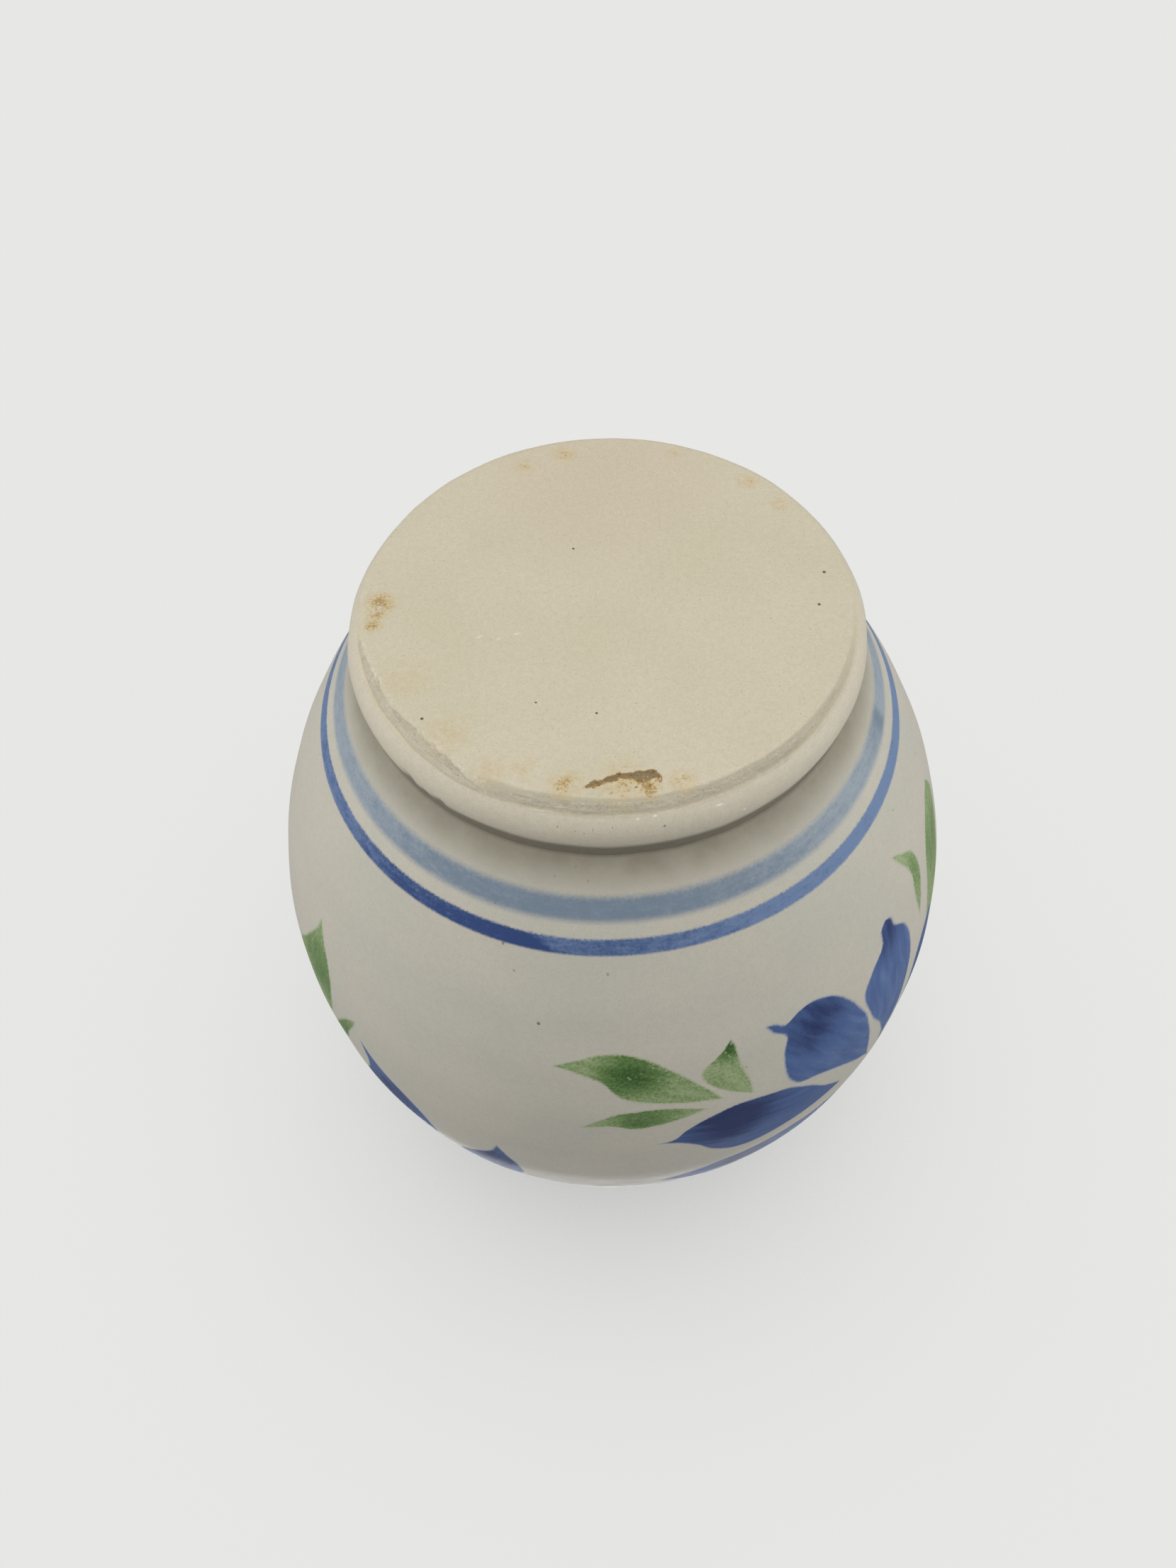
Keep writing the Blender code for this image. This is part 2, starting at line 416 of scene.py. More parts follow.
glazeCoat = {
    "turns": 416,
    "rows": (92, 36, 8, 8, 16),  # body, shoulder, neck, lip, foot
    "backStep": 4,  # the hidden side keeps one row in so many
    "gloss": 0.15,
    "roughness": (0.4, 0.18),  # the least, and how much more where the coat is cloudy
    "beadFrom": (8, 6),  # mm up where each of these starts and where it is full
    "thinCoatAndShadeFrom": (17, 10.8),
    "thinCoatAndShadeEnd": (9.8, 10.5),
    "undercutShadeFrom": (6.4, 8),
    "undercutShadeEnd": (11, 10.4),
    "colours": {
        "cream": (199, 194, 181),
        "coolCream": (194, 191, 179),
        "bead": (208, 200, 181),
        "thinCoatAndShade": (145, 139, 121),  # above the crease: the thin coat's own darker tint, deepened further as painted shade
        # painted shade: the undercut between the foot's bead and the body is darkened in colour
        "undercutShade": (126, 119, 105),
        "ironSpeck": (100, 92, 72),
        # painted highlight: the near-white of glints on the knocks
        "nickGlint": (240, 237, 228),
    },
    "mottling": [
        (0.9, 2.0, 0.6, 0.3, 0.7, 0.12, (168, 162, 147)),
        (3.6, 2.0, 0.7, 0.45, 0.75, 0.26, (160, 154, 138)),
    ],
    "dots": [
        (0.3, 0.07, 0.2, 0.8, (128, 112, 92)),
        (0.085, 0.03, 0.25, 1, (98, 94, 76)),
    ],
    "ironSpecks": [  # degrees round, mm up, size in mm, strength
        (-12.2, 34.8, 0.5, 0.8),
        (-19.5, 23.4, 0.45, 0.6),
        (-17, 27, 0.4, 0.4),
        (-1, 25.8, 0.45, 0.4),
        (-4.6, 13.6, 0.3, 0.3),
        (-11.3, 13.4, 0.35, 0.25),
        (-7.2, 12, 0.35, 0.25),
        (-10.5, 3.2, 0.25, 0.6),
        (-7, 3.6, 0.22, 0.5),
        (-5.2, 3.8, 0.22, 0.5),
        (-3.5, 3.2, 0.22, 0.5),
        (0.4, 2.9, 0.22, 0.5),
        (11.2, 6.8, 0.25, 0.6),
    ],
    "nickGlints": [  # painted highlights on knocks: degrees round, mm up, half as long in degrees, half as wide in mm
        (22.4, 2.6, 1.2, 0.22),
        (27.7, 4.9, 0.5, 0.3),
        (44, 5.8, 0.6, 0.3),
        (9, 2, 0.6, 0.2),
        (5.5, 2.1, 0.5, 0.2),
    ],
    "nickGlintStrength": 0.8,
}


def makeGlaze(material):
    face = glazeFace(*glazeCoat["rows"])
    back = inset(face, feathered(face, True, True))
    inner = back[1:-1][::-glazeCoat["backStep"]]
    shape = turned(face + inner, glazeCoat["turns"], True)
    for vert in shape.verts:
        vert.co += outward(vert.co) * offRound(vert.co)
    nodes = ["outer_glaze", "foot_pale_band", "foot_deep_band", "neck_pale_band", "neck_deep_band"]
    finished("vaseGlaze", shape, material, nodes)


def creamCoat(point, height, turn, cloud):
    tint = tints(glazeCoat)
    cream = point.grain(0.05, 2.0).rise(0.35, 0.65).mix(tint["cream"], tint["coolCream"])
    cream = height.rise(*glazeCoat["beadFrom"]).mix(cream, tint["bead"])
    # the thin coat above the crease, darkened partly by its own tint and partly as painted shade
    thinCoatAndShade = height.rise(*glazeCoat["thinCoatAndShadeFrom"]) * height.rise(*glazeCoat["thinCoatAndShadeEnd"])
    cream = (thinCoatAndShade * (0.6 + 0.6 * cloud)).least(1).mix(cream, tint["thinCoatAndShade"])
    # painted shade in the undercut above the foot's bead
    undercutShade = height.rise(*glazeCoat["undercutShadeFrom"]) * height.rise(*glazeCoat["undercutShadeEnd"])
    cream = undercutShade.mix(cream, tint["undercutShade"])
    cream = dotted(point, mottled(point, cream, glazeCoat["mottling"]), glazeCoat["dots"])
    wall = turn.node("CombineXYZ", {}, {0: turn, 1: height})
    for place, up, size, strength in glazeCoat["ironSpecks"]:
        speck = wall.near((place, up, 0), size).rise(0.1, 0.7) * strength
        cream = speck.mix(cream, tint["ironSpeck"])
    # painted highlights: pale glints where the knocks on the foot catch the light
    for place, up, length, width in glazeCoat["nickGlints"]:
        nickGlint = wall.laidOut((place, up), size=(length, width)).near((0, 0, 0), 1)
        cream = (nickGlint * glazeCoat["nickGlintStrength"]).mix(cream, tint["nickGlint"])
    return cream


# The sprig, on the wall unrolled: degrees round and mm up, which are alike at the belly.
# A stroke has its tip, its end, a pool of colour with its reach, the amount of colour and how much more
# of it lies in the pool, and spots along its two edges.

sprig = {
    "windowStart": -74,  # the drawing repeats once, on the vase's far side
    "repeat": 180,
    "tipGap": 0.35,  # mm that a stroke's line narrows past its ends
    "ragged": 0.6,
    "softEdge": (-0.35, 0.45),
    "sway": 2,  # mm that the drawing strays, about
    "petalCover": 0.98,
    "colours": {
        "leafThin": (160, 175, 132),
        "leaf": (108, 136, 82),
        "leafThick": (56, 92, 40),
        "leafFleck": (170, 182, 150),
        "leafGrain": (42, 78, 30),
        "petalThin": (103, 128, 172),
        "petal": (66, 93, 144),
        "petalThick": (20, 43, 93),
    },
    "leaves": [
        ((-10.5, 43), (17.5, 54.5), (2.5, 44, 8), (0.38, 0.56),
         [[(-6.5, 41), (-2, 39.4), (4, 40.5), (9, 44), (14, 49.6)],
          [(-6, 43.6), (-2.5, 45.3), (2, 50), (10, 52.4)]]),
        ((18.5, 39.8), (21.8, 56), (18.6, 40.6, 6), (0.34, 0.8),
         [[(17, 42), (13.6, 46.6), (15, 49.6), (19, 53.6)], [(19.4, 43), (20.4, 48), (21.2, 52.6)]]),
        ((-6.4, 58.7), (15, 55.6), (4.5, 56, 9), (0.3, 0.42),
         [[(-3, 55.8), (2, 53.3), (7, 53)], [(-1.5, 57.4), (4, 58.7), (9.5, 57.5)]]),
        ((57.5, 30), (63, 51.5), (63, 40, 9), (0.3, 0.2),
         [[(60.6, 32), (64.6, 36.5), (65.4, 41), (64.6, 46)], [(59.8, 33.4), (61.6, 38), (62, 45)]]),
        ((80, 35), (66.5, 63), (75, 45, 12), (0.36, 0.2),
         [[(82, 39), (81, 46), (75, 55)], [(75, 36.4), (70.4, 40.6), (68, 48), (66.6, 56)]]),
        ((-57.8, 41.3), (-63, 78), (-57.5, 56, 13), (0.36, 0.32),
         [[(-56.6, 46), (-54.4, 52), (-54.2, 60), (-57, 70)],
          [(-59.6, 47), (-63, 53), (-68, 62), (-68, 71)]]),
        ((-46.6, 57), (-55.5, 78), (-51, 68, 10), (0.45, 0.25),
         [[(-47.6, 61), (-49.6, 66), (-52, 72)], [(-49.6, 61), (-53.4, 67), (-56.4, 73)]]),
        ((-2, 106), (20, 97), (8, 102, 9), (0.4, 0.35),
         [[(4, 101.4), (10, 98.4), (15, 97.4)], [(3, 106.4), (9, 105), (15, 101)]]),
        ((99, 104), (78, 92), (88, 99, 9), (0.4, 0.35),
         [[(94, 99), (88, 95), (82, 92.6)], [(94, 103.8), (87, 101.6), (81, 96.6)]]),
    ],
    "petals": [
        ((5.2, 64.8), (41, 75), (18.5, 61.5, 13), (0.52, 0.5),
         [[(9.3, 64), (10.8, 61.6), (14, 58.8), (19.5, 57.2), (26, 58.6), (31.5, 62.4), (36.6, 69)],
          [(9.4, 65.8), (12.4, 68), (15.6, 72.4), (20, 75.8), (27, 76.2), (35, 75.6)]]),
        ((24, 40.6), (49.4, 78.5), (34, 46, 12), (0.42, 0.42),
         [[(26, 41), (28.4, 42.3), (30.4, 41.2), (34, 41), (40, 45.4), (43.4, 51.6), (45.4, 60),
           (47.2, 72.4)],
          [(25.6, 42.4), (27.8, 44.4), (27.2, 49), (27, 53), (29, 58.6), (34, 61.6), (40, 66.3),
           (45.6, 73)]]),
        ((51.8, 38.2), (52.5, 80), (52, 41.5, 9), (0.4, 0.4),
         [[(53.4, 39.4), (54, 41.6), (57, 45.4), (58.4, 51), (57.4, 58), (55, 69)],
          [(50.3, 39.6), (50.2, 42), (47, 45.6), (44.6, 50.6), (45.4, 56), (49.4, 66)]]),
        ((69, 55), (55.5, 81), (64, 64, 10), (0.4, 0.3),
         [[(69.6, 60), (67.4, 67), (61, 76)], [(64, 58), (60.4, 64), (57, 72)]]),
        ((97, 72), (58, 84), (84, 74, 12), (0.42, 0.4),
         [[(92.4, 69), (84, 68.4), (74, 72), (65, 79)], [(93, 74), (86, 80.4), (76, 84), (66, 85)]]),
        ((90, 104), (57.5, 88), (78, 98, 11), (0.42, 0.4),
         [[(86, 98), (78, 91.4), (68, 88)], [(84, 104), (76, 103), (66, 96)]]),
        ((66, 120), (53.5, 90), (62, 110, 11), (0.42, 0.4),
         [[(68, 114), (66.4, 105), (60, 96)], [(61, 115.6), (56.6, 107), (54, 98)]]),
        ((38, 120), (49.5, 90), (42, 110, 11), (0.42, 0.4),
         [[(36.4, 113), (39, 104), (45, 95.6)], [(43.6, 115), (48, 107), (50, 98)]]),
        ((7, 89), (45.5, 85), (22, 88, 12), (0.45, 0.4),
         [[(11.6, 85.6), (20, 81.4), (31, 80.8), (40, 83)], [(12, 90.8), (20, 95), (31, 93), (40, 88)]]),
        ((-46.6, 62.6), (-38, 97), (-42, 78, 13), (0.4, 0.36),
         [[(-42, 68), (-37, 74), (-33.6, 82), (-34, 90)],
          [(-45.4, 68), (-47, 75), (-48.6, 82), (-45.6, 90)]]),
        ((-19.8, 72.6), (-28.5, 101), (-22, 84, 12), (0.45, 0.36),
         [[(-18.8, 78), (-16.8, 84), (-17, 91), (-22, 97)],
          [(-21.2, 78), (-25.6, 84), (-29.6, 91), (-30, 97)]]),
        ((-66, 103), (-39, 101.5), (-56, 102, 10), (0.4, 0.36),
         [[(-60, 98.4), (-52, 97), (-45, 99)], [(-60, 106), (-52, 107), (-45, 104.6)]]),
        ((-2, 116), (-28.5, 105.5), (-12, 112, 10), (0.4, 0.36),
         [[(-8, 110), (-16, 105.4), (-23, 104.4)], [(-8, 116), (-16, 114.4), (-23, 110)]]),
        ((-52, 121), (-36, 106), (-46, 115, 9), (0.4, 0.36),
         [[(-51, 114.6), (-45, 108.6), (-40, 106.4)], [(-46.4, 120), (-40.4, 115), (-36.8, 110)]]),
    ],
}


def strokeOn(sheet, stroke):  # mm inside a stroke, how much colour, and the way along it
    tip, end, (right, up, reach), (tone, gain), edges = stroke
    tip, end = Vector(tip), Vector(end)
    turn = math.atan2(end.y - tip.y, end.x - tip.x)
    unturn = Matrix.Rotation(-turn, 2)
    spots = [[unturn @ (Vector(spot) - tip) for spot in edge] for edge in edges]
    spots.sort(key=lambda edge: sum(spot.y for spot in edge) / len(edge))
    length, gap = (end - tip).length, sprig["tipGap"]
    place = sheet.laidOut(tip, turn)
    along, off = place.part(0), place.part(1)
    lower = along.curve([(0, gap), *[tuple(spot) for spot in spots[0]], (length, gap)])
    upper = along.curve([(0, -gap), *[tuple(spot) for spot in spots[1]], (length, -gap)])
    inside = (upper - off).least(off - lower)
    return inside, tone + gain * sheet.near((right, up, 0), reach), place


def brushed(sheet, strokes, edge):  # cover, amount of colour and way of the brush over all strokes
    cover, amount, flow = None, None, None
    for stroke in strokes:
        inside, tone, place = strokeOn(sheet, stroke)
        painted = (inside + edge).rise(*sprig["softEdge"])
        if cover is None:
            cover, amount, flow = painted, painted * tone, place.vector("MULTIPLY", painted)
        else:
            cover, amount = cover.most(painted), amount.most(painted * tone)
            flow = place.node("VectorMath", {"operation": "MULTIPLY_ADD"}, {0: place, 1: painted, 2: flow})
    return cover, amount, flow


def sprigPaint(colour, point, height, turn, fine, cloud):
    tint = tints(sprig)
    wrapped = turn.maths("WRAP", turn, sprig["windowStart"] + sprig["repeat"], sprig["windowStart"])
    sheet = turn.node("CombineXYZ", {}, {0: wrapped, 1: height})
    warp = point.node("TexNoise", {}, {"Vector": point, "Scale": 0.07, "Detail": 1.0}, 1)
    warp = warp.vector("SUBTRACT", (0.5, 0.5, 0.5)).vector("MULTIPLY", (sprig["sway"], sprig["sway"], 0))
    sheet = sheet.vector("ADD", warp)
    edge = fine * sprig["ragged"]

    green, greenTone, greenFlow = brushed(sheet, sprig["leaves"], edge)
    greenStreak = greenFlow.vector("MULTIPLY", (0.15, 0.7, 1)).grain(1.0, 3.0)
    leafTone = greenTone + (greenStreak - 0.5) * 0.5 + fine * 0.9
    leaf = leafTone.rise(0.15, 0.65).mix(tint["leafThin"], tint["leaf"])
    leaf = leafTone.rise(0.5, 1.05).mix(leaf, tint["leafThick"])
    fleck = point.dots(1.1, 0.32, 0.5) * cloud.rise(0.4, 0.6) * 0.65
    leaf = fleck.mix(leaf, tint["leafFleck"])
    grain = point.dots(1.4, 0.3, 0.3) * greenTone.rise(0.45, 0.8) * 0.6
    leaf = grain.mix(leaf, tint["leafGrain"])

    blue, blueTone, blueFlow = brushed(sheet, sprig["petals"], edge)
    blueStreak = blueFlow.vector("MULTIPLY", (0.1, 0.6, 1)).grain(1.0, 3.0)
    petalTone = blueTone + (blueStreak - 0.5) * 0.6 + fine * 0.2
    petal = petalTone.rise(0.1, 0.55).mix(tint["petalThin"], tint["petal"])
    petal = petalTone.rise(0.5, 0.95).mix(petal, tint["petalThick"])
    return (blue * sprig["petalCover"]).mix(green.mix(colour, leaf), petal)


# The bands round foot and neck

bands = {
    "lift": 0.3,  # mm that the foot's bands stand higher at the front
    "drop": 0.2,  # mm that they lie lower all round
    "wander": 0.5,
    "ragged": (0.55, 0.275),  # mm at the lower edge and the upper one
    "paleEdge": (-0.5, 0.8),  # mm over which the paint fades
    "deepEdge": (-0.2, 0.28),
    "paleCover": 0.92,
    "deepCover": 0.96,
    "layerEnd": (-8, -12),  # degrees where the deep band's second layer ends
    "layerSlant": 2,  # degrees that its end leans for each mm
    "layerStart": (-72, -18),
    "layer": 0.65,
    "colours": {
        "paleThin": (148, 161, 172),
        "pale": (110, 128, 147),
        "deepThin": (106, 130, 168),
        "deep": (32, 64, 120),
    },
    "paleTone": [  # degrees round, amount of colour
        (-180, 0.4), (-120, 0.45), (-80, 0.3), (-58, 0.35), (-42, 0.62), (-28, 0.8), (0, 0.85),
        (30, 0.6), (58, 0.25), (72, 0.55), (76.6, 0.9), (78.2, 0.15), (120, 0.3), (180, 0.4),
    ],
    "deepTone": [
        (-180, 0.3), (-100, 0.3), (-60, 0.36), (-46, 0.36), (-30, 0.3), (-6, 0.5), (4, 0.48),
        (12, 0.36), (30, 0.16), (60, 0.03), (180, 0.3),
    ],
}


def bandOn(node, height, grain):  # how deep inside a band in mm
    low, high = [corner.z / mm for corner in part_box(node)]
    lower, upper = bands["ragged"]
    return (height - low + grain * lower).least(high - height + grain * upper)


def bandPaint(colour, point, height, turn, fine, cloud):
    tint = tints(bands)
    x, y = point.part(0), point.part(1)
    front = (0 - y) / x.maths("SQRT", x * x + y * y)
    wander = (point.grain(0.03, 1.0) - 0.5) * bands["wander"]
    lifted = height - front * bands["lift"] - wander + bands["drop"]
    mottle = point.vector("MULTIPLY", (0.45, 0.45, 1.3)).grain(1.0, 4.0, 0.65) - 0.5

    pale = bandOn("foot_pale_band", lifted, fine).most(bandOn("neck_pale_band", height, fine))
    paleTone = turn.curve(bands["paleTone"]) + (cloud - 0.5) * 0.4 + fine * 0.7 + mottle * 1.1
    paleBlue = paleTone.rise(0, 1).mix(tint["paleThin"], tint["pale"])
    colour = (pale.rise(*bands["paleEdge"]) * bands["paleCover"]).mix(colour, paleBlue)

    deep = bandOn("foot_deep_band", lifted, fine).most(bandOn("neck_deep_band", height, fine))
    slant = (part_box("foot_deep_band")[1].z / mm - lifted) * bands["layerSlant"]
    layer = (turn + slant).rise(*bands["layerEnd"]) * turn.rise(*bands["layerStart"]) * bands["layer"]
    deepTone = turn.curve(bands["deepTone"]) + (cloud - 0.5) * 0.3 + layer + fine * 0.8 + mottle * 1.1
    deepBlue = deepTone.rise(0, 1).mix(tint["deepThin"], tint["deep"])
    return (deep.rise(*bands["deepEdge"]) * bands["deepCover"]).mix(colour, deepBlue)


def makeGlazeMaterial():
    least, more = glazeCoat["roughness"]
    material, shader, point = newMaterial("paintedGlaze", least, glazeCoat["gloss"])
    x, y, height = point.part(0), point.part(1), point.part(2)
    turn = x.maths("ARCTAN2", 0 - x, 0 - y) * math.degrees(1)
    fine = point.grain(2.2, 3.0, 0.65) - 0.5
    cloud = point.grain(0.22, 3.0, 0.6)
    colour = creamCoat(point, height, turn, cloud)
    colour = bandPaint(colour, point, height, turn, fine, cloud)
    colour = sprigPaint(colour, point, height, turn, fine, cloud)
    connect(shader, "Base Color", colour)
    connect(shader, "Roughness", least + more * cloud)
    connect(shader, "Normal", ripple(point))
    return material


# Bare clay: the pot itself, seen on the flat underside of the foot

clayPot = {
    "turns": 320,
    "flatRows": 10,
    "edgeRows": 20,
    "edgeStart": 0.0295,
    "rows": (30, 14, 5, 6, 8),  # body, shoulder, neck, lip, foot
    "insideRows": 24,
    "roundFrom": (0.034, 0.0372),  # radius where the wall's unevenness starts and where it is full
    "wornTurn": (-116, 62),  # the side with the ledge and the chip is cut finer
    "wornStart": 0.0306,
    "wornCuts": 3,
    "raggedPitch": 5.2,
    "scarpRun": 0.16,  # mm over which the torn edge drops
    "skin": (0.45, 0.1),  # mm inside and past the ledge's end where the clay's skin returns
    "grit": (0.018, 0.07),  # depth in mm all over, and more on the front bevel
    "streaks": 0.11,
    "crumbs": 0.08,
    "rings": (0.03, 7),  # depth in mm of the turning lines, and radians of them for each mm
    "flatEnd": [  # degrees round and radius in mm where the flat underside ends
        (-180, 35.7), (-125, 35.7), (-90, 35.5), (-78, 35), (-65, 34.7), (-54, 34.5), (-43, 34.4),
        (-34, 34.6), (-10, 34.5), (15, 34.9), (45, 35.2), (105, 35.6), (180, 35.7),
    ],
    "bevelFoot": [  # where the worn bevel outside it ends
        (-180, 37.4), (-90, 37.3), (-82, 36.8), (-75, 36), (-65, 35.7), (-59, 36), (-54, 35.75),
        (-48, 35.4), (-43, 35.6), (-37, 35.7), (-35, 35.9), (-31, 36.6), (-27, 37.05), (-17, 37.4),
        (180, 37.4),
    ],
    "ledgeEnd": [  # where the recessed ledge past the bevel ends
        (-180, 37.5), (-100, 37.4), (-75, 36.9), (-54, 37), (-45, 37.2), (-32, 37.5), (180, 37.5),
    ],
    "scarpShare": [  # share of the drop that is a torn step, the rest being a slope
        (-180, 0), (-84, 0), (-74, 0.45), (-66, 0.5), (-40, 0.5), (-32, 0.25), (-22, 0.12), (-14, 0),
        (180, 0),
    ],
    "recess": [  # mm that the ledge lies deeper than the bead's round side
        (-180, 0), (-84, 0), (-74, 0.18), (-40, 0.18), (-18, 0.1), (-12, 0), (180, 0),
    ],
    "raggedEdge": [  # mm that the edge strays
        (-180, 0.06), (-92, 0.1), (-80, 0.7), (-64, 0.65), (-40, 0.55), (-20, 0.25), (180, 0.06),
    ],
    "chipFrom": 30,
    "chipDepth": (0.36, 0.1, 0.16),  # mm deep at its inner edge, less for each mm out, and its roughness
    "chipEdge": [  # mm right of the middle and mm out to the chip's inner edge
        (-3.8, 33.7), (-2, 32.7), (-0.8, 32.4), (0.3, 31.9), (1.3, 31.6), (4.1, 31.4), (5.9, 31.1),
        (6.5, 31.7), (7.4, 32.8),
    ],
    "chipWidth": [  # mm right of the middle and mm from the inner edge to the outer one
        (-3.8, 0.3), (-2, 0.9), (-0.8, 1.2), (0.3, 1), (2.4, 1.1), (4, 2.2), (5.2, 2.3), (6.4, 1.3),
        (7.4, 0.5),
    ],
    "roughness": 0.85,
    "gloss": 0.25,
    "relief": 0.07,
    "colours": {
        "warm": (213, 204, 182),
        "cool": (208, 200, 175),
        "rosy": (208, 194, 172),
        "wornFront": (181, 174, 156),
        "wornSide": (196, 188, 169),
        "dragDark": (158, 150, 131),
        "dragPale": (212, 206, 190),
        # painted shadow: the dark line under the torn edge
        "wornEdge": (150, 141, 120),
        "grit": (136, 126, 104),
        "gritPale": (228, 224, 212),
        "ochre": (206, 178, 118),
        "ochreGrain": (160, 128, 74),
        "speck": (84, 72, 50),
        # pale crumbs and scratches, also used as a painted highlight on the torn lip
        "chalk": (226, 221, 206),
        "chip": (194, 160, 98),
        "chipDeep": (142, 124, 92),
        "chipGrain": (120, 92, 52),
    },
    "mottling": [
        (1.0, 2.0, 0.6, 0.3, 0.7, 0.16, (182, 172, 148)),
        (2.4, 3.0, 0.65, 0.42, 0.7, 0.26, (180, 170, 146)),
        (6.0, 2.0, 0.7, 0.5, 0.75, 0.3, (170, 160, 136)),
    ],
    "dots": [
        (1.3, 0.14, 0.4, 0.6, (150, 134, 104)),
        (0.5, 0.04, 0.4, 0.8, (112, 96, 70)),
    ],
    "chipDots": [
        (1.8, 0.22, 0.3, 0.8, (206, 190, 152)),
    ],
    "rosyPatch": ((0, 26, 0), 30, 0.6),  # place, reach in mm, strength
    "ochreStains": [  # mm right and up of the middle, reach in mm, strength
        (2, -33, 5.5, 0.6),
        (9.6, -33.1, 2.8, 0.7),
        (5.2, -34, 2.6, 1),
        (-5.9, -33.2, 3.4, 0.8),
        (-33.4, 0.2, 3.4, 1),
        (-33.8, -2, 2.6, 0.8),
        (-34.1, -4.2, 2.2, 0.9),
        (-34.2, -4.4, 1, 1),
        (-28.5, -14, 6, 0.25),
        (-22, -24.5, 5, 0.35),
        (-16, -30.6, 3.5, 0.35),
        (-11.5, -30.4, 3, 0.35),
        (-12.9, 29.7, 2.6, 0.55),
        (-6.2, 32.3, 3, 0.65),
        (11.6, 32.1, 1.8, 0.55),
        (22.9, 24.9, 2.6, 0.5),
        (27.5, 19.2, 2.2, 0.5),
    ],
    "darkSpecks": [  # mm right and up of the middle, size in mm
        (-25.7, -21.7, 0.36),
        (-1.6, -21.4, 0.3),
        (-10, -19.3, 0.25),
        (-22.8, -30, 0.25),
        (32.7, 4.4, 0.4),
        (31.2, -2.1, 0.36),
        (-4.8, 10.6, 0.3),
    ],
    "paleScratches": [  # mm right and up of the middle, degrees of slope, half as long in mm
        (-18.4, -6.9, 25, 1),
        (-15.6, -7.4, 40, 0.6),
        (-13, -6.5, 20, 1),
    ],
    "scratchWidth": 0.3,  # half as wide in mm
}


def rough(place, scales):  # layered noise about -1 to 1, each layer finer and weaker
    return sum(noise.noise(place * scale) / (1 + index) for index, scale in enumerate(scales))


def wornEdge(co, turn, radius):  # height in mm of the worn edge, how bare it is, its pale crumbs, which also carry a painted highlight
    x, z, size = [value / mm for value in form["bead"]]
    wave = Vector((math.radians(turn) * clayPot["raggedPitch"], 0.3, 0.7))
    ragged = rough(wave, (1, 2.7, 6.1)) * through(clayPot["raggedEdge"], turn)
    start = through(clayPot["flatEnd"], turn) + ragged
    foot = through(clayPot["bevelFoot"], turn) + ragged * smoothstep(turn, -12, -40)
    end, share = through(clayPot["ledgeEnd"], turn), through(clayPot["scarpShare"], turn)
    skin = smoothstep(radius, end - clayPot["skin"][0], end + clayPot["skin"][1])
    side = z - math.sqrt(size * size - (min(max(foot, radius), x + size) - x) ** 2)
    bevel = min(max((radius - start) / (foot - start), 0), 1)
    edge = smoothstep(radius, foot - clayPot["scarpRun"], foot)
    drop = side + through(clayPot["recess"], turn) * (1 - skin)
    rise = drop * ((1 - share) * bevel ** 2 + share * edge)

    # crumbs lie along the torn step, and grit and streaks on the front's bevel
    torn = smoothstep(share, 0, 0.3)
    clumps = smoothstep(noise.noise(co * 350), -0.2, 0.15)
    crumbs = torn * smoothstep(bevel, 0.3, 0.6) * smoothstep(radius, foot + 0.35, foot)
    crumbs *= smoothstep(rough(co * 2200, (1, 2.3)), 0.1, 0.55) * clumps
    front = smoothstep(abs(turn), 100, 30) * (1 - torn) * smoothstep(bevel, 0.2, 0.6)
    crumbs = max(crumbs, front * smoothstep(rough(co * 2600, (1, 2.3)), 0.7, 1))
    streaks = rough(Vector((math.radians(turn) * 9, radius * 2.4, 0.5)), (1, 2.3))
    grit, frontGrit = clayPot["grit"]
    grit = (grit + frontGrit * front) * rough(co * 1400, (1, 2.1))
    rise += grit + clayPot["streaks"] * front * streaks - clayPot["crumbs"] * crumbs
    depth, pitch = clayPot["rings"]
    rings = depth * math.sin(radius * pitch) * smoothstep(radius, 33, 34.5)
    rise += rings * smoothstep(turn, 10, 50) * (1 - bevel)
    bare = max(front * smoothstep(radius, 37.5, 36.6), torn * edge * (1 - skin))
    return rise, bare, crumbs


def chipAt(co):  # depth in mm of the chip, and how far its bare break shows
    across, out = -co.x / mm, -co.y / mm
    first, last = clayPot["chipEdge"][0][0], clayPot["chipEdge"][-1][0]
    if not (first < across < last and out > clayPot["chipFrom"]):
        return 0, 0
    past = out + 0.3 * rough(co * 1000, (1, 2.3)) - through(clayPot["chipEdge"], across)
    ends = smoothstep(across, first, first + 1) * smoothstep(across, last, last - 1)
    depth, slope, grit = clayPot["chipDepth"]
    broken = smoothstep(past, 0, 0.3) * (depth - slope * past + grit * rough(co * 1500, (1, 2.2))) * ends
    width = through(clayPot["chipWidth"], across) * (1 + 0.25 * noise.noise(co * 900))
    return broken, smoothstep(past, -0.12, 0.06) * smoothstep(past, width * 1.5, width * 0.2) * ends


def underside(co):  # height in mm of the clay under the foot, and how worn it is there
    rise, bare, crumbs = wornEdge(co, turnOf(co), math.hypot(co.x, co.y) / mm)
    broken, scarp = chipAt(co)
    return max(rise, broken), scarp, bare, crumbs


